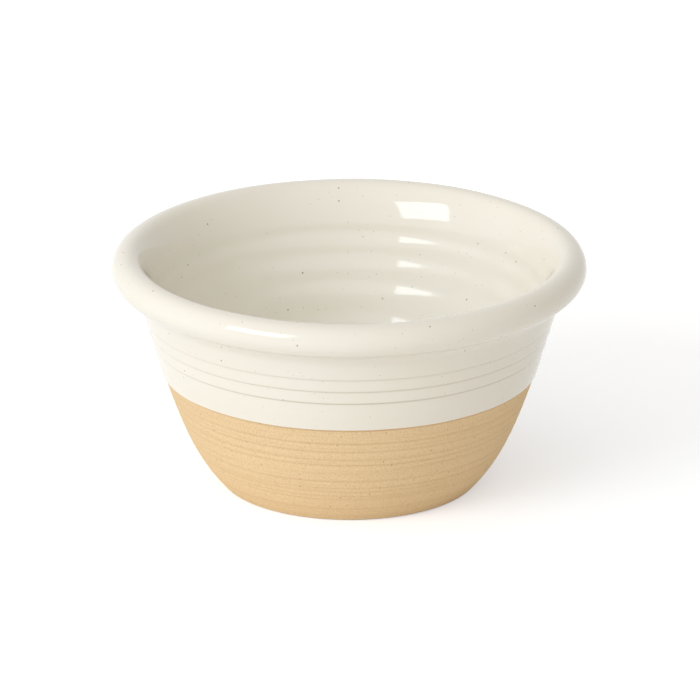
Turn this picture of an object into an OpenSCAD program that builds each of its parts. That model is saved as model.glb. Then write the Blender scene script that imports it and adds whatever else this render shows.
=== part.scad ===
// Stoneware prep bowl: a thrown clay body that is bare on its lower half, and the glaze fused to it
// inside, over the rolled rim and outside down to the dip line.
// Millimetres, +Z up, origin on the table at the middle of the base.

/* [Bowl] */
// Outside diameter over the glazed rim
bowl_d = 160; // [140:1:190]
// Height from the table to the top of the glazed rim
bowl_h = 81; // [70:0.5:100]
// Diameter of the wall where it meets the table, before the edge is softened
base_d = 86; // [74:1:100]
// Thickness of the clay wall
wall_t = 5.3; // [4:0.1:6.5]
// Height of the clay inside the bowl above the table
floor_t = 6.5; // [5:0.1:9]
// Height in which the inside of the wall turns into the floor
floor_turn = 14; // [8:0.5:20]

/* [Foot] */
// How far the lower wall swells out past the straight flare above it
belly = 9.4; // [5:0.1:12]
// Height in which about two thirds of that swelling is reached
belly_rise = 13.5; // [9:0.5:20]
// Length over which the edge of the base is softened
base_edge = 0.8; // [0.4:0.1:1.5]
// Width of the ring that the bowl stands on
ring_w = 8; // [5:0.5:14]
// Depth of the hollow inside that ring
hollow_depth = 1; // [0.5:0.1:2]
// Width of the slope between the ring and the hollow
hollow_slope = 2; // [1:0.1:4]

/* [Rim] */
// Diameter of the roll on the outside of the rim, glaze included
roll_d = 11.2; // [9:0.1:13]
// How far the rim stands out past the top of the clay wall
rim_overhang = 9.5; // [8.5:0.1:11]
// Depth below the top of the rim at which the wall turns out into the neck
neck_drop = 16.3; // [15:0.1:19]
// Width of the rounded lip inside the top of the rim, glaze included
lip_w = 5; // [4:0.1:6]
// Angle from upright at which the lip runs down into the throat
lip_angle = 40; // [30:1:48]
// Depth below the top of the rim at which the throat runs into the plain wall
throat_drop = 18; // [15:0.5:25]

/* [Glaze] */
// Thickness of the glaze
glaze_t = 0.4; // [0.25:0.05:0.6]
// How far the rim end of the bowl is dipped into the glaze
dip_depth = 41.4; // [37:0.2:52]

/* [Throwing marks] */
// Number of grooves under the neck
groove_count = 3; // [1:1:3]
// Distance from the neck down to the first groove
groove_drop = 5.3; // [3:0.1:6]
// Distance between grooves
groove_pitch = 4.6; // [3.5:0.1:5]
// Depth of the grooves
groove_depth = 0.4; // [0.2:0.05:0.5]
// Depth of the fine turning lines in the bare clay
line_depth = 0.15; // [0.05:0.05:0.25]
// Width of the fine turning lines
line_w = 0.5; // [0.3:0.05:0.7]
// Distance between the soft finger rings inside
ring_pitch = 8.7; // [7:0.1:12]
// Depth of the finger rings from crest to hollow
ring_depth = 0.25; // [0.1:0.05:0.5]

/* [Hidden] */
$fn = 180;

// Heights of the turning lines, as shares of the bare wall
line_shares = [0.05, 0.145, 0.26, 0.297, 0.343, 0.384, 0.457, 0.535, 0.63, 0.687, 0.766, 0.851];
// Points of a groove's flank, as shares of the way to the middle of the band beside it
flank_shares = [0, 0.08, 0.18, 0.32, 0.52, 0.76, 1];
// Points of the rounded lower edge of the glaze, as shares of the glaze's thickness
edge_shares = [0.04, 0.16, 0.4, 0.7, 1];
// Part of a groove's depth that still shows in the glaze over it
show_share = 0.8;
// Part of the inside wall in which the finger rings fade out at each end
fade_share = 0.15;
// How hard a groove's flank turns into the band beside it
flank_power = 3;
// Steps of the neck, half of the roll, the lip, a soft corner and one finger ring
neck_steps = 10;
roll_steps = 10;
lip_steps = 10;
corner_steps = 8;
ring_steps = 8;

base_r = base_d / 2;
roll_r = roll_d / 2;
clay_roll_r = roll_r - glaze_t;
roll_at = [bowl_d / 2 - roll_r, bowl_h - roll_r];
neck_r = bowl_d / 2 - rim_overhang;
dip_h = bowl_h - dip_depth;
neck_h = bowl_h - neck_drop;
groove_hs = [for (i = [groove_count - 1:-1:0]) neck_h - groove_drop - i * groove_pitch];
low_groove_h = groove_hs[0];
top_groove_h = groove_hs[groove_count - 1];

// The straight flare above the belly takes the wall from the foot to the neck.
flare = (neck_r - base_r - belly * (1 - exp(-neck_h / belly_rise))) / neck_h;

function unit(v) = v / norm(v);
function reversed(list) = [for (i = [len(list) - 1:-1:0]) list[i]];
function tail(list) = [for (i = [1:1:len(list) - 1]) list[i]];
function polar(middle, radius, angle) = middle + radius * [cos(angle), sin(angle)];

// Points of a soft corner at b, from a to c
function corner(a, b, c) =
    [for (i = [0:corner_steps]) let (t = i / corner_steps)
        (1 - t) * (1 - t) * a + 2 * t * (1 - t) * b + t * t * c];

// Point at share t of the way along a smooth run from a to b that leaves along da and arrives along db
function run(a, da, b, db, t) = let (u = 1 - t)
    u * u * (u + 3 * t) * a + t * u * u * da + t * t * (t + 3 * u) * b - t * t * u * db;

// Outside of the clay wall at height h: its radius, its slope and the direction it faces
function wall_r(h) = base_r + belly + h * flare - belly * exp(-h / belly_rise);
function wall_slope(h) = flare + belly / belly_rise * exp(-h / belly_rise);
function wall_out(h) = unit([1, -wall_slope(h)]);
function wall_at(h) = [wall_r(h), h];

// A trace point is [radius, height, relief, cover]: relief is how far the clay stands out there, and
// cover is the share of the glaze's thickness that lies on it.
function trace(p, relief, cover) = [p.x, p.y, relief, cover];
function cut(flank) = -groove_depth * pow(1 - flank, flank_power);
function edge_cover(share) = sqrt(1 - (1 - share) * (1 - share));

// Underside: hollow, slope and standing ring, then the softened edge of the base
ring_out_r = base_r - base_edge;
ring_in_r = ring_out_r - ring_w;
under = [[0, hollow_depth], [ring_in_r - hollow_slope, hollow_depth], [ring_in_r, 0]];
base_corner = corner([ring_out_r, 0], [base_r, 0], wall_at(base_edge));

// Bare wall with its turning lines
bare = [for (share = line_shares, side = [-1, 0, 1])
    trace(wall_at(share * dip_h + side * line_w / 2), side == 0 ? -line_depth : 0, 0)];

// Rounded lower edge of the glaze
dip_edge = concat(
    [trace(wall_at(dip_h), 0, 0)],
    [for (share = edge_shares) trace(wall_at(dip_h + share * glaze_t), 0, edge_cover(share))]);

// Bands between the grooves: from the glaze's edge to the lowest groove, groove to groove, then up
// to the neck
dip_edge_top_h = dip_h + glaze_t;
low_band = [for (flank = tail(reversed(flank_shares)))
    trace(wall_at(low_groove_h - flank * (low_groove_h - dip_edge_top_h)), cut(flank), 1)];
groove_band = [for (i = [0:1:groove_count - 2]) each concat(
    [for (flank = tail(flank_shares)) trace(wall_at(groove_hs[i] + flank * groove_pitch / 2), cut(flank), 1)],
    [for (flank = tail(reversed(flank_shares)))
        trace(wall_at(groove_hs[i + 1] - flank * groove_pitch / 2), cut(flank), 1)])];
top_band = [for (flank = tail(flank_shares))
    trace(wall_at(top_groove_h + flank * (neck_h - top_groove_h)), cut(flank), 1)];

// Neck: the hollow arc that leaves the wall smoothly and meets the roll smoothly
neck_out = wall_out(neck_h);
roll_to_neck = wall_at(neck_h) - roll_at;
hollow_r = (roll_to_neck * roll_to_neck - clay_roll_r * clay_roll_r)
    / (2 * (clay_roll_r - roll_to_neck * neck_out));
hollow_at = wall_at(neck_h) + hollow_r * neck_out;
hollow_to_roll = roll_at - hollow_at;
hollow_from = atan2(-neck_out.y, -neck_out.x);
hollow_to = atan2(hollow_to_roll.y, hollow_to_roll.x);
neck = [for (i = [1:neck_steps - 1])
    trace(polar(hollow_at, hollow_r, hollow_from + (hollow_to - hollow_from) * i / neck_steps), 0, 1)];

// Roll: from the neck to the widest point of the rim, then to its top
roll_from = hollow_to - 180;
roll_angles = concat(
    [for (i = [0:roll_steps - 1]) roll_from * (1 - i / roll_steps)],
    [for (i = [0:roll_steps]) 90 * i / roll_steps]);
roll = [for (angle = roll_angles) trace(polar(roll_at, clay_roll_r, angle), 0, 1)];

// Lip: part of an ellipse from the top of the rim to where it leans in at lip_angle
clay_lip_w = lip_w - glaze_t;
lip_turn = atan2(clay_lip_w, clay_roll_r * tan(lip_angle));
function lip_at(turn) = roll_at + [-clay_lip_w * sin(turn), clay_roll_r * cos(turn)];
inner_lip = [for (i = [1:lip_steps]) trace(lip_at(lip_turn * i / lip_steps), 0, 1)];

// Inside: the throat below the lip, the wall's outside moved in by its thickness, then the floor.
// The finger rings run through the throat and the wall.
function inside_at(h) = wall_at(h) - wall_t * wall_out(h);
throat_from = lip_at(lip_turn);
throat_low_h = bowl_h - throat_drop;
throat_to = inside_at(throat_low_h);
throat_drop_h = throat_from.y - throat_to.y;
throat_steps = ceil(throat_drop_h / ring_pitch * ring_steps);
function throat_at(t) = run(
    throat_from, -throat_drop_h * [tan(lip_angle), 1],
    throat_to, -throat_drop_h * [wall_slope(throat_low_h), 1], t);
inside_low_h = floor_t + floor_turn;
inside_steps = ceil((throat_low_h - inside_low_h) / ring_pitch * ring_steps);
inside_line = concat(
    [for (i = [1:throat_steps]) throat_at(i / throat_steps)],
    [for (i = [1:inside_steps]) inside_at(throat_low_h + (inside_low_h - throat_low_h) * i / inside_steps)]);
inside_low_z = inside_at(inside_low_h).y;
function ring_relief(z) = let (way = (throat_from.y - z) / (throat_from.y - inside_low_z))
    ring_depth / 2 * cos(360 * (throat_from.y - z) / ring_pitch)
    * max(0, min(1, way / fade_share, (1 - way) / fade_share));
inside = [for (p = inside_line) trace(p, ring_relief(p.y), 1)];
turn_from = inside_at(inside_low_h);
turn_drop = turn_from.y - floor_t;
turn_mid = [turn_from.x - turn_drop * wall_slope(inside_low_h), floor_t];
turn_to = turn_mid - [norm(turn_from - turn_mid), 0];
inner_floor = [for (p = concat(tail(corner(turn_from, turn_mid, turn_to)), [[0, floor_t]])) trace(p, 0, 1)];

glazed = concat(dip_edge, low_band, groove_band, top_band, neck, roll, inner_lip, inside, inner_floor);

// Direction in which the surface faces at point i of a trace
function facing(path, i) = let (
    a = path[max(i - 1, 0)],
    b = path[min(i + 1, len(path) - 1)])
    unit([b.y - a.y, a.x - b.x]);
function clay_surface(path) = [for (i = [0:len(path) - 1])
    [path[i].x, path[i].y] + path[i].z * facing(path, i)];
function glaze_surface(path) = [for (i = [0:len(path) - 1])
    [path[i].x, path[i].y] + (glaze_t * path[i][3] + show_share * path[i].z) * facing(path, i)];

// Thrown and fired clay, bare below the dip line
module stoneware_body() {
    color("burlywood")
        rotate_extrude()
            polygon(concat(under, base_corner, clay_surface(bare), clay_surface(glazed)));
}

// Gloss glaze, one coat from the dip line over the rim to the middle of the floor
module glaze_coat() {
    color("ivory")
        rotate_extrude()
            polygon(concat(glaze_surface(glazed), reversed(tail(clay_surface(glazed)))));
}

stoneware_body();
glaze_coat();
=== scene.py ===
"""Looks of the stoneware prep bowl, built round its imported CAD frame.

The bowl is two pieces: the thrown clay body, bare on its lower half, and the glaze that is fused
to it inside, over the rolled rim and outside down to the dip line. Metres, +Z up, origin on the
table at the middle of the base.
"""

import logging
import math
from collections.abc import Sequence
from dataclasses import dataclass
from enum import Enum

import bpy
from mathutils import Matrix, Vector


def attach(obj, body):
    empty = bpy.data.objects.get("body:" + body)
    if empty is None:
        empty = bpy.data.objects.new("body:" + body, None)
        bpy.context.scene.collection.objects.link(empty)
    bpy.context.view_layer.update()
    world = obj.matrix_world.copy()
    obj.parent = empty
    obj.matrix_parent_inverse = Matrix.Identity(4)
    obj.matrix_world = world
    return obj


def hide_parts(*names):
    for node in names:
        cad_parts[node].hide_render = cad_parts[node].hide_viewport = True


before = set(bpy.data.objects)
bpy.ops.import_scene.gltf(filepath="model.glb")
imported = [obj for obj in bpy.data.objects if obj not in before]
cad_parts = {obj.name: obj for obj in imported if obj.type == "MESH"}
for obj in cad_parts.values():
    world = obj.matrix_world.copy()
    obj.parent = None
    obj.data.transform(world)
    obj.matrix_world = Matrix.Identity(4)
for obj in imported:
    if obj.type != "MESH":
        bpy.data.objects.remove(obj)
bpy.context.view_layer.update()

log = logging.getLogger("prep_bowl")

MM = 0.001
FULL_TURN = 2 * math.pi
MERGE = 0.002 * MM
SMOOTH_BELOW = math.radians(50)

Colour = tuple[float, float, float, float]


class Layer(Enum):
    """The two layers of the bowl, by the CAD node that each stands for."""

    CLAY = "stoneware_body"
    GLAZE = "glaze_coat"


@dataclass(frozen=True)
class Spot:
    """A place on the bowl's outline, in a cut through its axis.

    Attributes:
        at: Radius and height of the plain clay.
        relief: How far the finished clay stands out there; a groove is negative.
        cover: Share of the glaze's thickness that lies there.
    """

    at: Vector
    relief: float = 0.0
    cover: float = 1.0


@dataclass(frozen=True)
class Groove:
    """A groove that a tool left in the wall: a crisp edge above, a shallow slope back to the wall below.

    Attributes:
        height: Height of its crisp edge.
        depth: Depth in the clay.
        width: Height of the slope.
    """

    height: float
    depth: float
    width: float


def ease(share: float) -> float:
    """Soft step from 0 to 1, held outside that range."""
    held = min(1.0, max(0.0, share))
    return held * held * (3 - 2 * held)


def spaced(low: float, high: float, pitch: float) -> list[float]:
    """Values from low to high, both included, no more than a pitch apart.

    Args:
        low: First value.
        high: Last value.
        pitch: Largest step between two values.

    Returns:
        The values in order.
    """
    count = max(1, math.ceil(abs(high - low) / pitch))
    return [low + (high - low) * i / count for i in range(count + 1)]


def polar(middle: Vector, radius: float, angle: float) -> Vector:
    """Point at an angle, in radians, on a circle round middle."""
    return middle + radius * Vector((math.cos(angle), math.sin(angle)))


def soft_corner(start: Vector, corner: Vector, end: Vector, steps: int) -> list[Vector]:
    """Points that round a corner off between two points.

    Args:
        start: Where the rounding leaves the first side.
        corner: Where the two sides would meet.
        end: Where the rounding meets the second side.
        steps: Number of steps along it.

    Returns:
        The points, both ends included.
    """
    shares = [i / steps for i in range(steps + 1)]
    return [(1 - t) ** 2 * start + 2 * t * (1 - t) * corner + t * t * end for t in shares]


def thinned(points: Sequence[Vector], slack: float) -> list[Vector]:
    """Leave out the points that a line doesn't need.

    Args:
        points: Points of the line, in order.
        slack: How far the thinned line may run from a point that is left out.

    Returns:
        The points that stay, both ends included.
    """
    kept = [points[0]]
    first = 0
    for i in range(2, len(points)):
        chord = points[i] - points[first]
        across = Vector((chord.y, -chord.x)).normalized()
        if max(abs(across.dot(point - points[first])) for point in points[first + 1 : i]) > slack:
            first = i - 1
            kept.append(points[first])
    return kept + [points[-1]]


@dataclass(frozen=True)
class BowlForm:
    """Sizes of the thrown bowl and the outline that follows from them, in metres and radians."""

    rim_r: float = 80 * MM
    height: float = 81 * MM
    base_r: float = 43 * MM
    wall: float = 5.3 * MM
    floor: float = 6.5 * MM
    floor_turn: float = 14 * MM
    belly: float = 9.4 * MM
    belly_rise: float = 13.5 * MM
    base_edge: float = 0.8 * MM
    ring_w: float = 8 * MM
    hollow_depth: float = 1 * MM
    hollow_slope: float = 2 * MM
    roll_r: float = 5.6 * MM
    overhang: float = 9.5 * MM
    neck_h: float = 64.7 * MM
    lip_w: float = 5 * MM
    lip_lean: float = math.radians(40.7)
    throat_h: float = 63 * MM
    glaze: float = 0.4 * MM
    dip_h: float = 39.6 * MM
    pool_h: float = 47 * MM
    pool_share: float = 0.3
    glaze_show: float = 0.8
    crisp: float = 0.3 * MM
    grooves: tuple[Groove, ...] = (
        Groove(59.4 * MM, 0.42 * MM, 4.2 * MM),
        Groove(54.8 * MM, 0.52 * MM, 4.2 * MM),
        Groove(50.2 * MM, 0.55 * MM, 5.0 * MM),
    )
    lines: tuple[Groove, ...] = (
        Groove(2.0 * MM, 0.07 * MM, 1.4 * MM),
        Groove(5.8 * MM, 0.07 * MM, 1.4 * MM),
        Groove(10.35 * MM, 0.14 * MM, 1.4 * MM),
        Groove(11.8 * MM, 0.14 * MM, 1.4 * MM),
        Groove(13.65 * MM, 0.14 * MM, 1.4 * MM),
        Groove(15.25 * MM, 0.14 * MM, 1.4 * MM),
        Groove(18.2 * MM, 0.15 * MM, 1.4 * MM),
        Groove(21.3 * MM, 0.05 * MM, 1.4 * MM),
        Groove(25.05 * MM, 0.18 * MM, 1.4 * MM),
        Groove(27.3 * MM, 0.15 * MM, 1.4 * MM),
        Groove(30.5 * MM, 0.15 * MM, 1.4 * MM),
        Groove(33.85 * MM, 0.18 * MM, 1.4 * MM),
    )
    ring_depth: float = 0.24 * MM
    ring_crests: tuple[float, ...] = (68.6 * MM, 61.5 * MM, 53.2 * MM, 44.5 * MM, 32.8 * MM, 25 * MM)
    ring_fade: float = 5 * MM
    pitch: float = 0.7 * MM
    fine_pitch: float = 0.1 * MM
    hollow_pitch: float = 4 * MM
    stand_pitch: float = 2 * MM
    floor_pitch: float = 3 * MM
    foot_gap: float = 0.4 * MM
    neck_step: float = 0.05
    rim_step: float = 0.08
    edge_steps: int = 8
    turn_steps: int = 20
    bead: tuple[float, ...] = (0, 0.03, 0.1, 0.22, 0.4, 0.62, 0.82)
    seat_slack: float = 0.1

    @property
    def flare(self) -> float:
        """Slope of the wall above the belly, which takes it from the foot to the neck."""
        swell = self.belly * (1 - math.exp(-self.neck_h / self.belly_rise))
        return (self.rim_r - self.overhang - self.base_r - swell) / self.neck_h

    @property
    def roll_at(self) -> Vector:
        """Middle of the roll of the rim."""
        return Vector((self.rim_r - self.roll_r, self.height - self.roll_r))

    def wall_slope(self, h: float) -> float:
        """Slope of the outside of the wall at a height."""
        return self.flare + self.belly / self.belly_rise * math.exp(-h / self.belly_rise)

    def wall_at(self, h: float) -> Vector:
        """Outside of the clay wall at a height."""
        swell = self.belly * (1 - math.exp(-h / self.belly_rise))
        return Vector((self.base_r + swell + self.flare * h, h))

    def wall_out(self, h: float) -> Vector:
        """Direction that the outside of the wall faces at a height."""
        return Vector((1, -self.wall_slope(h))).normalized()

    def inside_at(self, h: float) -> Vector:
        """Inside of the clay wall, level with the outside at a height."""
        return self.wall_at(h) - self.wall * self.wall_out(h)

    def groove_heights(self, low: float, high: float, grooves: Sequence[Groove]) -> list[float]:
        """Heights along a run of the wall, close together at the crisp edges of its grooves.

        Args:
            low: Height at which the run starts.
            high: Height at which it ends.
            grooves: Grooves in the run.

        Returns:
            The heights in order.
        """
        heights = set(spaced(low, high, self.pitch))
        for groove in grooves:
            start, end = groove.height - self.pitch, groove.height + 1.1 * self.crisp
            heights = {h for h in heights if not start < h < end}
            heights |= set(spaced(start, end, self.fine_pitch))
        return sorted(heights)

    def groove_relief(self, h: float, grooves: Sequence[Groove]) -> float:
        """Relief of a run's grooves at a height, which is negative.

        Args:
            h: Height on the wall.
            grooves: Grooves in the run.

        Returns:
            Relief of the clay.
        """
        relief = 0.0
        for groove in grooves:
            above = (h - groove.height) / self.crisp
            below = (groove.height - h) / groove.width
            if 0 <= above < 1:
                relief -= groove.depth * (1 - above) ** 2
            elif 0 < below < 1:
                relief -= groove.depth * (1 - below)
        return relief

    def ring_relief(self, z: float) -> float:
        """Relief of the soft finger rings at a height on the inside."""
        crests = self.ring_crests
        half = self.ring_depth / 2
        if z >= crests[0]:
            return half * ease(1 - (z - crests[0]) / self.ring_fade)
        if z <= crests[-1]:
            return half * ease(1 - (crests[-1] - z) / self.ring_fade)
        for upper, lower in zip(crests, crests[1:]):
            if z >= lower:
                return half * math.cos(FULL_TURN * (upper - z) / (upper - lower))
        return 0.0

    def underside(self) -> list[Spot]:
        """Hollow under the base, the ring it stands on and the softened edge of the base."""
        ring_out = self.base_r - self.base_edge
        ring_in = ring_out - self.ring_w
        brow = Vector((ring_in - self.hollow_slope, self.hollow_depth))
        toe = Vector((ring_in, 0))
        fall = toe - brow
        level = Vector((fall.length, 0))
        points = [Vector((r, self.hollow_depth)) for r in spaced(0, (brow - level / 2).x, self.hollow_pitch)]
        points += soft_corner(brow - level / 2, brow, brow + fall / 3, self.edge_steps)
        points += soft_corner(toe - fall / 3, toe, toe + level / 3, self.edge_steps)
        points += [Vector((r, 0)) for r in spaced((toe + level / 3).x, ring_out, self.stand_pitch)[1:-1]]
        base = Vector((self.base_r, 0))
        points += soft_corner(Vector((ring_out, 0)), base, self.wall_at(self.base_edge), self.edge_steps)
        return [Spot(point, 0.0, 0.0) for point in points]

    def bare_wall(self) -> list[Spot]:
        """Outside of the wall from the base to the dip line, with its turning lines."""
        foot = self.base_edge + self.foot_gap
        heights = self.groove_heights(foot, self.dip_h - self.pitch, self.lines)
        return [Spot(self.wall_at(h), self.groove_relief(h, self.lines), 0.0) for h in heights]

    def dipped_wall(self) -> list[Spot]:
        """Outside of the wall from the dip line to the neck: the glaze's round edge and the grooves."""
        edge_top = self.dip_h + self.glaze
        spots = []
        for share in self.bead:
            cover = math.sqrt(1 - (1 - share) ** 2) * (1 + self.pool_share)
            spots.append(Spot(self.wall_at(self.dip_h + share * self.glaze), 0.0, cover))
        for h in self.groove_heights(edge_top, self.neck_h, self.grooves):
            pool = self.pool_share * ease((self.pool_h - h) / (self.pool_h - edge_top))
            spots.append(Spot(self.wall_at(h), self.groove_relief(h, self.grooves), 1 + pool))
        return spots

    def rim(self) -> list[Spot]:
        """Hollow neck, roll and lip, up to where the lip leans into the throat."""
        clay_r, clay_lip = self.roll_r - self.glaze, self.lip_w - self.glaze
        out = self.wall_out(self.neck_h)
        reach = self.wall_at(self.neck_h) - self.roll_at
        hollow_r = (reach.length_squared - clay_r**2) / (2 * (clay_r - reach.dot(out)))
        hollow_at = self.wall_at(self.neck_h) + hollow_r * out
        start = math.atan2(-out.y, -out.x)
        end = math.atan2(*reversed(self.roll_at - hollow_at))
        neck = spaced(start, end, self.neck_step)[1:-1]
        roll = spaced(end - math.pi, math.pi / 2, self.rim_step)
        lip = spaced(0, self.lip_turn, self.rim_step)[1:]
        points = [polar(hollow_at, hollow_r, angle) for angle in neck]
        points += [polar(self.roll_at, clay_r, angle) for angle in roll]
        points += [self.lip_point(turn, clay_lip, clay_r) for turn in lip]
        return [Spot(point) for point in points]

    @property
    def lip_turn(self) -> float:
        """Turn along the lip, from the top of the rim, at which it leans by lip_lean."""
        return math.atan2(self.lip_w - self.glaze, (self.roll_r - self.glaze) * math.tan(self.lip_lean))

    def lip_point(self, turn: float, width: float, rise: float) -> Vector:
        """Point of the lip's ellipse at a turn from the top of the rim."""
        return self.roll_at + Vector((-width * math.sin(turn), rise * math.cos(turn)))

    def inside(self) -> list[Spot]:
        """Throat, inner wall with its finger rings, and the floor to its middle."""
        top = self.lip_point(self.lip_turn, self.lip_w - self.glaze, self.roll_r - self.glaze)
        low = self.inside_at(self.throat_h)
        drop = top.y - low.y
        leave = -drop * Vector((math.tan(self.lip_lean), 1))
        arrive = -drop * Vector((self.wall_slope(self.throat_h), 1))
        points = []
        for t in spaced(0, 1, self.pitch / drop)[1:]:
            u = 1 - t
            near = u * u * ((u + 3 * t) * top + t * leave)
            points.append(near + t * t * ((t + 3 * u) * low - u * arrive))
        foot_h = self.floor + self.floor_turn
        points += [self.inside_at(h) for h in spaced(self.throat_h, foot_h, self.pitch)[1:]]
        foot = points[-1]
        turn = Vector((foot.x - (foot.y - self.floor) * self.wall_slope(foot_h), self.floor))
        end = turn - Vector(((foot - turn).length, 0))
        points += soft_corner(foot, turn, end, self.turn_steps)[1:]
        points += [Vector((r, self.floor)) for r in spaced(end.x, 0, self.floor_pitch)[1:]]
        return [Spot(point, self.ring_relief(point.y)) for point in points]

    def surface(self, spots: Sequence[Spot], layer: Layer) -> list[Vector]:
        """Finished surface of one layer over a run of spots.

        Args:
            spots: Places along the outline, in order.
            layer: Which layer's surface is wanted.

        Returns:
            One point for each spot.
        """
        points = []
        for i, spot in enumerate(spots):
            before, after = spots[max(i - 1, 0)].at, spots[min(i + 1, len(spots) - 1)].at
            along = after - before
            out = Vector((along.y, -along.x)).normalized()
            rise = spot.relief
            if layer is Layer.GLAZE:
                rise = self.glaze * spot.cover + self.glaze_show * spot.relief
            points.append(spot.at + rise * out)
        return points

    def clay_outline(self) -> list[Vector]:
        """Outline of the clay, from the middle of the underside to the middle of the floor."""
        return self.surface(self.underside() + self.bare_wall(), Layer.CLAY) + self.seat()

    def glazed(self) -> list[Spot]:
        """All places that the glaze covers, from the dip line to the middle of the floor."""
        return self.dipped_wall() + self.rim() + self.inside()

    def seat(self) -> list[Vector]:
        """Clay under the glaze, from the dip line to the middle of the floor; hidden, so coarser."""
        return thinned(self.surface(self.glazed(), Layer.CLAY), self.seat_slack * self.glaze)

    def glaze_outline(self) -> list[Vector]:
        """Outline of the glaze, from the middle of the floor over the rim to the dip line and back."""
        return self.surface(self.glazed(), Layer.GLAZE)[::-1] + self.seat()[1:]


def throw_on_wheel(name: str, outline: Sequence[Vector], steps: int) -> bpy.types.Object:
    """Turn an outline into a closed round piece, as a potter's wheel does.

    Args:
        name: Name of the piece.
        outline: Radius and height of each point, with both ends on the axis.
        steps: Number of steps in the full turn.

    Returns:
        The piece, smooth, closed and facing outwards.
    """
    bpy.ops.object.select_all(action="DESELECT")
    bpy.ops.mesh.primitive_plane_add(size=10 * MM, location=(0, 0, 0))
    piece = bpy.context.object
    piece.name = piece.data.name = name
    bpy.ops.object.mode_set(mode="EDIT")
    bpy.ops.mesh.select_all(action="SELECT")
    bpy.ops.mesh.merge(type="CENTER")
    bpy.ops.transform.translate(value=(outline[0].x, 0, outline[0].y))
    for before, after in zip(outline, outline[1:]):
        step = after - before
        bpy.ops.mesh.extrude_region_move(TRANSFORM_OT_translate={"value": (step.x, 0, step.y)})
    bpy.ops.mesh.select_all(action="SELECT")
    bpy.ops.mesh.spin(steps=steps, angle=FULL_TURN, center=(0, 0, 0), axis=(0, 0, 1))
    bpy.ops.mesh.select_all(action="SELECT")
    bpy.ops.mesh.remove_doubles(threshold=MERGE)
    bpy.ops.mesh.normals_make_consistent(inside=False)
    bpy.ops.object.mode_set(mode="OBJECT")
    bpy.ops.object.shade_smooth_by_angle(angle=SMOOTH_BELOW)
    return piece


@dataclass(frozen=True)
class HandDrift:
    """Slow drift off the true round that a hand leaves in thrown clay.

    Attributes:
        reach: Size of the drift's swells.
        amount: How far the clay may drift.
        still_h: Height below which the drift dies out, so that the base stands flat.
    """

    reach: float = 45 * MM
    amount: float = 0.5 * MM
    still_h: float = 30 * MM

    def work(self, piece: bpy.types.Object) -> None:
        """Move a piece off the true round; both layers move alike.

        Args:
            piece: Piece to move.
        """
        held = piece.vertex_groups.new(name="drift")
        for vertex in piece.data.vertices:
            held.add([vertex.index], ease(vertex.co.z / self.still_h), "REPLACE")
        swell = bpy.data.textures.new("hand_drift", "CLOUDS")
        swell.cloud_type = "COLOR"
        swell.noise_scale = self.reach
        swell.noise_depth = 1
        bpy.context.view_layer.objects.active = piece
        bpy.ops.object.modifier_add(type="DISPLACE")
        drift = piece.modifiers[-1]
        drift.texture = swell
        drift.texture_coords = "LOCAL"
        drift.direction = "RGB_TO_XYZ"
        drift.strength = self.amount
        drift.vertex_group = held.name
        bpy.ops.object.modifier_apply(modifier=drift.name)
        piece.vertex_groups.clear()


def linear(hex_colour: str) -> Colour:
    """Linear colour of an sRGB hex value.

    Args:
        hex_colour: Colour as #rrggbb.

    Returns:
        Red, green, blue and alpha for a socket.
    """
    shares = [int(hex_colour[i : i + 2], 16) / 255 for i in (1, 3, 5)]
    red, green, blue = (s / 12.92 if s <= 0.04045 else ((s + 0.055) / 1.055) ** 2.4 for s in shares)
    return red, green, blue, 1.0


def add_node(
    tree: bpy.types.NodeTree, kind: str, inputs: dict | None = None, **settings: object
) -> bpy.types.Node:
    """Add a node with its settings and links.

    Args:
        tree: Node tree that gets the node.
        kind: Blender's name of the kind of node.
        inputs: For an input's name or number, its value or the output that feeds it.
        settings: Properties of the node.

    Returns:
        The node.
    """
    node = tree.nodes.new(kind)
    for key, value in settings.items():
        setattr(node, key, value)
    for key, value in (inputs or {}).items():
        if isinstance(value, bpy.types.NodeSocket):
            tree.links.new(value, node.inputs[key])
        else:
            node.inputs[key].default_value = value
    return node


def new_material(name: str) -> tuple[bpy.types.Material, bpy.types.NodeTree]:
    """An empty node material with that name, and its tree."""
    material = bpy.data.materials.new(name)
    material.use_nodes = True
    material.node_tree.nodes.clear()
    return material, material.node_tree


@dataclass(frozen=True)
class Specks:
    """Specks of iron or quartz in speckled stoneware, as small balls spread through space.

    Attributes:
        cell: Average distance between specks.
        radius: Largest radius of a speck.
        strength: How strongly a speck colours the surface.
        core: Share of the radius that has the full strength.
    """

    cell: float
    radius: float
    strength: float
    core: float = 0.45

    def mask(self, tree: bpy.types.NodeTree, place: bpy.types.NodeSocket) -> bpy.types.NodeSocket:
        """Add the nodes of the specks.

        Args:
            tree: Node tree of the material.
            place: Output with the place on the piece.

        Returns:
            Output that is strength on a speck and 0 elsewhere.
        """
        spots = add_node(tree, "ShaderNodeTexVoronoi", {"Vector": place, "Scale": 1 / self.cell})
        rim = self.radius / self.cell
        ball = add_node(
            tree,
            "ShaderNodeMapRange",
            {"Value": spots.outputs["Distance"], 1: rim, 2: rim * self.core, 3: 0.0, 4: self.strength},
            interpolation_type="SMOOTHSTEP",
        )
        return ball.outputs["Result"]


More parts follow.
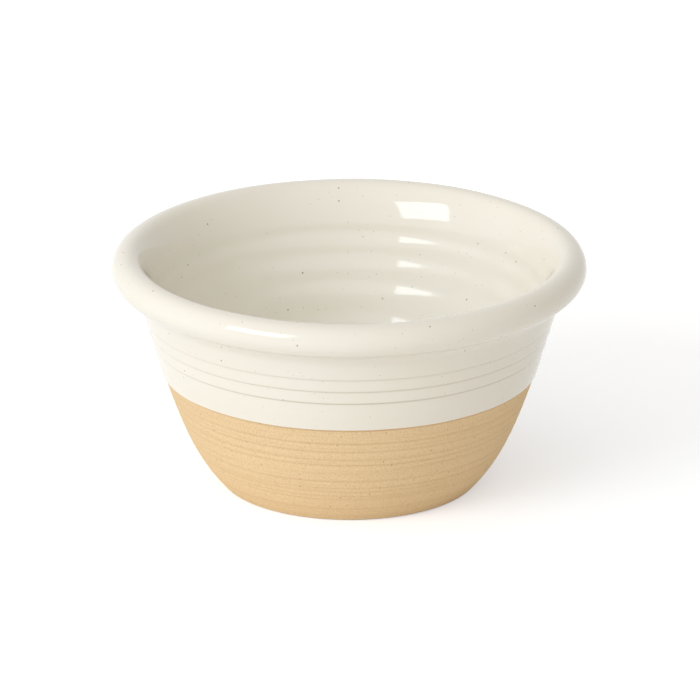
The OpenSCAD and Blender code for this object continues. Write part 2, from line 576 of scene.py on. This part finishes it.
@dataclass(frozen=True)
class Ring:
    """A darker ring round the bowl at a groove or turning line: painted shade there, partly also glaze
    pooling in the grooves and clay slurry left in the lines.

    Attributes:
        height: Height of its middle.
        width: Half of its width.
        strength: How strongly it colours the surface.
    """

    height: float
    width: float
    strength: float

    def mask(self, tree: bpy.types.NodeTree, height: bpy.types.NodeSocket) -> bpy.types.NodeSocket:
        """Add the nodes of the ring.

        Args:
            tree: Node tree of the material.
            height: Output with the height on the outside of the bowl.

        Returns:
            Output that is strength in the middle of the ring and 0 above and below it.
        """
        off = add_node(tree, "ShaderNodeMath", {0: height, 1: self.height}, operation="SUBTRACT")
        away = add_node(tree, "ShaderNodeMath", {0: off.outputs[0]}, operation="ABSOLUTE")
        ring = add_node(
            tree,
            "ShaderNodeMapRange",
            {"Value": away.outputs[0], 1: 0.0, 2: self.width, 3: self.strength, 4: 0.0},
            interpolation_type="SMOOTHSTEP",
        )
        return ring.outputs["Result"]


@dataclass(frozen=True)
class IvoryGlaze:
    """Ivory gloss glaze, dipped and fired on speckled stoneware.

    To the eye it is a warm white glass: soft colour below a sharp, slightly wavy gloss, with brown
    iron specks that have melted through from the clay and a greyer line in each groove, partly glaze
    pooling there and partly painted shade.
    """

    name: str = "ivory_gloss_glaze"
    ivory: str = "#F6F5F0"
    warm_ivory: str = "#F3F1E7"
    iron: str = "#7A6244"
    # Greyer colour in the grooves: painted shade in the grooves, partly glaze pooling there.
    pooled_glaze_and_shade: str = "#B4A990"
    ior: float = 1.6
    roughness: tuple[float, float] = (0.05, 0.09)
    cloud: float = 30 * MM
    ripple: float = 5 * MM
    ripple_depth: float = 0.012 * MM
    inside_r: float = 64.9 * MM
    specks: tuple[Specks, ...] = (Specks(6 * MM, 0.42 * MM, 0.65), Specks(3.2 * MM, 0.24 * MM, 0.42))
    # Rings at the crisp edges of the grooves, outside only: painted groove shade, partly glaze pooling.
    pool_and_shade_rings: tuple[Ring, ...] = (
        Ring(59.2 * MM, 0.8 * MM, 0.16),
        Ring(54.6 * MM, 0.6 * MM, 0.3),
        Ring(50.0 * MM, 0.6 * MM, 0.42),
    )

    def material(self) -> bpy.types.Material:
        """Make the material.

        Returns:
            The glaze as a node material on Object coordinates.
        """
        material, tree = new_material(self.name)
        place = add_node(tree, "ShaderNodeTexCoord").outputs["Object"]
        cloud = add_node(
            tree, "ShaderNodeTexNoise", {"Vector": place, "Scale": 1 / self.cloud, "Detail": 2.0}
        )
        level = add_node(tree, "ShaderNodeSeparateXYZ", {"Vector": place})
        flat = add_node(tree, "ShaderNodeVectorMath", {0: place, 1: (1, 1, 0)}, operation="MULTIPLY")
        away = add_node(tree, "ShaderNodeVectorMath", {0: flat.outputs[0]}, operation="LENGTH")
        outside = add_node(
            tree, "ShaderNodeMath", {0: away.outputs["Value"], 1: self.inside_r}, operation="GREATER_THAN"
        )
        height = add_node(
            tree, "ShaderNodeMath", {0: level.outputs["Z"], 1: outside.outputs[0]}, operation="MULTIPLY"
        )
        coats = [(cloud.outputs["Fac"], self.warm_ivory)]
        # Grooves greyed: painted shade in the grooves, partly glaze pooling.
        coats += [(pool.mask(tree, height.outputs[0]), self.pooled_glaze_and_shade) for pool in self.pool_and_shade_rings]
        coats += [(specks.mask(tree, place), self.iron) for specks in self.specks]
        colour = linear(self.ivory)
        for mask, tint in coats:
            colour = add_node(
                tree, "ShaderNodeMix", {0: mask, 6: colour, 7: linear(tint)}, data_type="RGBA"
            ).outputs[2]
        ripple = add_node(
            tree, "ShaderNodeTexNoise", {"Vector": place, "Scale": 1 / self.ripple, "Detail": 1.0}
        )
        gloss = add_node(
            tree,
            "ShaderNodeMapRange",
            {"Value": ripple.outputs["Fac"], 3: self.roughness[0], 4: self.roughness[1]},
        )
        waves = add_node(
            tree,
            "ShaderNodeBump",
            {"Height": ripple.outputs["Fac"], "Distance": self.ripple_depth, "Strength": 1.0},
        )
        glass = add_node(
            tree,
            "ShaderNodeBsdfPrincipled",
            {
                "Base Color": colour,
                "Roughness": gloss.outputs["Result"],
                "IOR": self.ior,
                "Normal": waves.outputs["Normal"],
            },
        )
        add_node(tree, "ShaderNodeOutputMaterial", {"Surface": glass.outputs["BSDF"]})
        return material


@dataclass(frozen=True)
class BareStoneware:
    """Buff stoneware, thrown, turned on the wheel and fired without glaze.

    To the eye it is dry and sandy: fine grit with paler quartz grains, faint streaks round the
    wheel, darker colour in the turning lines, partly clay slurry and partly painted shade, small
    dark iron specks and a darker orange line just below where the glaze ends, partly flashing and
    partly painted shade under the glaze's edge.
    """

    name: str = "bare_turned_stoneware"
    buff: str = "#F2D9B1"
    grit_dark: str = "#D8B482"
    # Darker orange just below the glaze's edge: painted shade under the edge, partly flashing.
    flash_and_edge_shade: str = "#C9995F"
    iron: str = "#86623E"
    # Darker colour in the turning lines: painted shade in the lines, partly clay slurry.
    slip_and_line_shade: str = "#B98F5A"
    quartz: str = "#FFF1DA"
    ior: float = 1.5
    roughness: float = 0.88
    grit: float = 0.5 * MM
    grit_depth: float = 0.03 * MM
    streak_round: float = 60 * MM
    streak_high: float = 0.9 * MM
    streak_depth: float = 0.02 * MM
    # Band just below the dip line that takes that colour: painted shade under the glaze's edge, partly
    # flashing.
    flash_and_shade_h: float = 39.6 * MM
    flash_and_shade_w: float = 1.0 * MM
    sand_range: tuple[float, float] = (0.42, 0.75)
    sand_share: float = 0.62
    band_range: tuple[float, float] = (0.5, 0.8)
    band_share: float = 0.35
    # Strength of the painted shade and flashing under the glaze's edge.
    flash_and_shade_share: float = 0.7
    specks: tuple[Specks, ...] = (Specks(4.1 * MM, 0.34 * MM, 0.65), Specks(1.7 * MM, 0.17 * MM, 0.4))
    grains: Specks = Specks(1.3 * MM, 0.18 * MM, 0.5)
    # Rings at the turning lines: painted line shade, partly clay slurry.
    slip_and_line_shade_rings: tuple[Ring, ...] = (
        Ring(2.0 * MM, 0.7 * MM, 0.08),
        Ring(5.8 * MM, 0.8 * MM, 0.08),
        Ring(10.35 * MM, 0.6 * MM, 0.11),
        Ring(11.8 * MM, 0.6 * MM, 0.11),
        Ring(13.65 * MM, 0.6 * MM, 0.09),
        Ring(15.25 * MM, 0.6 * MM, 0.11),
        Ring(18.2 * MM, 0.7 * MM, 0.11),
        Ring(21.3 * MM, 0.6 * MM, 0.03),
        Ring(25.05 * MM, 0.8 * MM, 0.14),
        Ring(27.3 * MM, 0.8 * MM, 0.14),
        Ring(30.5 * MM, 0.8 * MM, 0.14),
        Ring(33.85 * MM, 0.85 * MM, 0.14),
    )

    def material(self) -> bpy.types.Material:
        """Make the material.

        Returns:
            The bare clay as a node material on Object coordinates.
        """
        material, tree = new_material(self.name)
        place = add_node(tree, "ShaderNodeTexCoord").outputs["Object"]
        grit = add_node(
            tree, "ShaderNodeTexNoise", {"Vector": place, "Scale": 1 / self.grit, "Detail": 2.0}
        )
        flat = add_node(
            tree,
            "ShaderNodeMapping",
            {"Vector": place, "Scale": (1 / self.streak_round, 1 / self.streak_round, 1 / self.streak_high)},
        )
        streak = add_node(
            tree, "ShaderNodeTexNoise", {"Vector": flat.outputs["Vector"], "Scale": 1.0, "Detail": 2.0}
        )
        low, high = self.sand_range
        sand = add_node(
            tree,
            "ShaderNodeMapRange",
            {"Value": grit.outputs["Fac"], 1: low, 2: high, 3: 0.0, 4: self.sand_share},
        )
        low, high = self.band_range
        band = add_node(
            tree,
            "ShaderNodeMapRange",
            {"Value": streak.outputs["Fac"], 1: low, 2: high, 3: 0.0, 4: self.band_share},
        )
        height = add_node(tree, "ShaderNodeSeparateXYZ", {"Vector": place}).outputs["Z"]
        # Clay darkened just below the glaze's edge: painted shade under the edge, partly flashing.
        flash_and_edge_shade = add_node(
            tree,
            "ShaderNodeMapRange",
            {"Value": height, 1: self.flash_and_shade_h - self.flash_and_shade_w, 2: self.flash_and_shade_h, 3: 0.0, 4: self.flash_and_shade_share},
            interpolation_type="SMOOTHSTEP",
        )
        coats = [(sand.outputs["Result"], self.grit_dark), (band.outputs["Result"], self.grit_dark)]
        coats += [(flash_and_edge_shade.outputs["Result"], self.flash_and_edge_shade)]
        # Turning lines darkened: painted shade in the lines, partly clay slurry.
        coats += [(ring.mask(tree, height), self.slip_and_line_shade) for ring in self.slip_and_line_shade_rings]
        coats += [(self.grains.mask(tree, place), self.quartz)]
        coats += [(specks.mask(tree, place), self.iron) for specks in self.specks]
        colour = linear(self.buff)
        for mask, tint in coats:
            colour = add_node(
                tree, "ShaderNodeMix", {0: mask, 6: colour, 7: linear(tint)}, data_type="RGBA"
            ).outputs[2]
        streaks = add_node(
            tree,
            "ShaderNodeBump",
            {"Height": streak.outputs["Fac"], "Distance": self.streak_depth, "Strength": 1.0},
        )
        grains = add_node(
            tree,
            "ShaderNodeBump",
            {
                "Height": grit.outputs["Fac"],
                "Distance": self.grit_depth,
                "Strength": 1.0,
                "Normal": streaks.outputs["Normal"],
            },
        )
        clay = add_node(
            tree,
            "ShaderNodeBsdfPrincipled",
            {
                "Base Color": colour,
                "Roughness": self.roughness,
                "IOR": self.ior,
                "Normal": grains.outputs["Normal"],
            },
        )
        add_node(tree, "ShaderNodeOutputMaterial", {"Surface": clay.outputs["BSDF"]})
        return material


@dataclass(frozen=True)
class ThrownBowl:
    """The bowl: clay body and glaze coat, both thrown from one form.

    Attributes:
        form: Sizes and outline.
        drift: Unevenness of the hand.
        clay: Finish of the body.
        coat: Finish of the glaze.
        steps: Steps in a full turn of the wheel.
    """

    form: BowlForm = BowlForm()
    drift: HandDrift = HandDrift()
    clay: BareStoneware = BareStoneware()
    coat: IvoryGlaze = IvoryGlaze()
    steps: int = 300

    def build(self) -> list[bpy.types.Object]:
        """Build and dress both layers.

        Returns:
            The clay body and the glaze coat.
        """
        body = self.layer("bowl_body", Layer.CLAY, self.form.clay_outline(), self.clay.material())
        coat = self.layer("bowl_glaze", Layer.GLAZE, self.form.glaze_outline(), self.coat.material())
        return [body, coat]

    def layer(
        self, name: str, layer: Layer, outline: Sequence[Vector], finish: bpy.types.Material
    ) -> bpy.types.Object:
        """Throw one layer, dress it and put it in the place of its CAD node.

        Args:
            name: Name of the piece.
            layer: Which layer it is.
            outline: Its outline.
            finish: Its material.

        Returns:
            The finished piece.
        """
        piece = throw_on_wheel(name, outline, self.steps)
        self.drift.work(piece)
        piece.data.materials.append(finish)
        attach(piece, "root")
        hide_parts(layer.value)
        return piece


@dataclass(frozen=True)
class Panel:
    """A soft lamp panel that faces the bowl.

    Attributes:
        side: How far it stands to the left of the camera.
        rise: How far it stands above the table.
        far: Distance from the bowl.
        size: Width and height.
        watts: Power.
        tint: Colour of its light.
    """

    side: float
    rise: float
    far: float
    size: tuple[float, float]
    watts: float
    tint: str = "#EAF4FF"

    def hang(self, aim: Vector) -> None:
        """Hang the panel so that it faces a point.

        Args:
            aim: Point that it faces.
        """
        level = math.cos(self.rise)
        way = Vector((-math.sin(self.side) * level, -math.cos(self.side) * level, math.sin(self.rise)))
        turn = way.to_track_quat("Z", "Y").to_euler()
        bpy.ops.object.light_add(type="AREA", location=aim + self.far * way, rotation=turn)
        lamp = bpy.context.object.data
        lamp.shape = "RECTANGLE"
        lamp.size, lamp.size_y = self.size
        lamp.energy = self.watts
        lamp.color = linear(self.tint)[:3]


@dataclass(frozen=True)
class Studio:
    """Camera, soft light and pale floor."""

    camera_at: Vector = Vector((0, -2839.9, 1067.9)) * MM
    camera_aim: Vector = Vector((0.2, 0, 45.3)) * MM
    lens: float = 458.57
    sensor: float = 36.0
    clip_end: float = 100.0
    aim: Vector = Vector((0, 0, 60)) * MM
    softbox: Panel = Panel(math.radians(46.6), math.radians(29), 3.0, (1.56, 1.17), 26.2)
    fill: str = "#FFF6E8"
    horizon: float = 0.7
    zenith: float = 0.64
    lean: Vector = Vector((-0.52, -0.36, 0))
    haze: tuple[float, float] = (math.sin(math.radians(8)), math.sin(math.radians(48)))
    floor_r: float = 8.0
    floor_sides: int = 96
    floor_z: float = -0.02 * MM
    floor_paper: str = "#F9F9F9"
    floor_glow: str = "#E6F1FF"
    floor_lift: float = 0.46

    def build(self) -> None:
        """Set up the camera, the lamp, the world and the floor."""
        scene = bpy.context.scene
        scene.view_settings.view_transform = "Standard"
        self.set_camera(scene)
        self.softbox.hang(self.aim)
        self.paint_world(scene)
        self.lay_floor()

    def set_camera(self, scene: bpy.types.Scene) -> None:
        """Put the camera at the photograph's angle.

        Args:
            scene: Scene that gets the camera.
        """
        turn = (self.camera_aim - self.camera_at).to_track_quat("-Z", "Y").to_euler()
        bpy.ops.object.camera_add(location=self.camera_at, rotation=turn)
        camera = bpy.context.object
        camera.data.lens = self.lens
        camera.data.sensor_width = self.sensor
        camera.data.clip_end = self.clip_end
        scene.camera = camera

    def seen(self, tree: bpy.types.NodeTree) -> bpy.types.NodeSocket:
        """Add the nodes that tell rays which show the background from rays that light the bowl.

        Args:
            tree: Node tree of a world or a floor.

        Returns:
            Output that is 1 for camera, glossy and transmission rays.
        """
        path = add_node(tree, "ShaderNodeLightPath").outputs
        seen = path["Is Camera Ray"]
        for kind in ("Is Glossy Ray", "Is Transmission Ray"):
            seen = add_node(tree, "ShaderNodeMath", {0: seen, 1: path[kind]}, operation="MAXIMUM").outputs[0]
        return seen

    def paint_world(self, scene: bpy.types.Scene) -> None:
        """Make the world a white room that lights the bowl at a plain level, most from low on the left.

        Args:
            scene: Scene that gets the world.
        """
        world = bpy.data.worlds.new("studio_white")
        world.use_nodes = True
        tree = world.node_tree
        tree.nodes.clear()
        way = add_node(tree, "ShaderNodeTexCoord").outputs["Generated"]
        rise = add_node(tree, "ShaderNodeSeparateXYZ", {"Vector": way}).outputs["Z"]
        sky = add_node(
            tree,
            "ShaderNodeMapRange",
            {"Value": rise, 1: self.haze[0], 2: self.haze[1], 3: self.horizon, 4: self.zenith},
            interpolation_type="SMOOTHSTEP",
        )
        side = add_node(tree, "ShaderNodeVectorMath", {0: way, 1: self.lean}, operation="DOT_PRODUCT")
        light = add_node(
            tree,
            "ShaderNodeMath",
            {0: sky.outputs[0], 1: side.outputs["Value"], 2: sky.outputs[0]},
            operation="MULTIPLY_ADD",
        )
        level = add_node(tree, "ShaderNodeMapRange", {"Value": self.seen(tree), 3: light.outputs[0], 4: 1.0})
        tone = add_node(
            tree,
            "ShaderNodeMix",
            {0: self.seen(tree), 6: linear(self.fill), 7: (1, 1, 1, 1)},
            data_type="RGBA",
        )
        room = add_node(
            tree, "ShaderNodeBackground", {"Color": tone.outputs[2], "Strength": level.outputs["Result"]}
        )
        add_node(tree, "ShaderNodeOutputWorld", {"Surface": room.outputs[0]})
        scene.world = world

    def lay_floor(self) -> None:
        """Lay the pale floor, which keeps the bowl's shadow."""
        bpy.ops.object.select_all(action="DESELECT")
        bpy.ops.mesh.primitive_circle_add(
            vertices=self.floor_sides, radius=self.floor_r, fill_type="NGON", location=(0, 0, self.floor_z)
        )
        floor = bpy.context.object
        floor.name = "studio_floor"
        material, tree = new_material("studio_floor_paper")
        paper = add_node(tree, "ShaderNodeBsdfDiffuse", {"Color": linear(self.floor_paper)})
        lift = add_node(
            tree, "ShaderNodeMath", {0: self.seen(tree), 1: self.floor_lift}, operation="MULTIPLY"
        )
        glow = add_node(
            tree, "ShaderNodeEmission", {"Color": linear(self.floor_glow), "Strength": lift.outputs[0]}
        )
        both = add_node(tree, "ShaderNodeAddShader", {0: paper.outputs[0], 1: glow.outputs[0]})
        add_node(tree, "ShaderNodeOutputMaterial", {"Surface": both.outputs[0]})
        floor.data.materials.append(material)


def main() -> None:
    """Build the studio and the bowl."""
    logging.basicConfig(level=logging.INFO, format="%(name)s: %(message)s")
    Studio().build()
    for piece in ThrownBowl().build():
        log.info("%s: %d faces, %s", piece.name, len(piece.data.polygons), piece.data.materials[0].name)


if __name__ == "__main__":
    main()
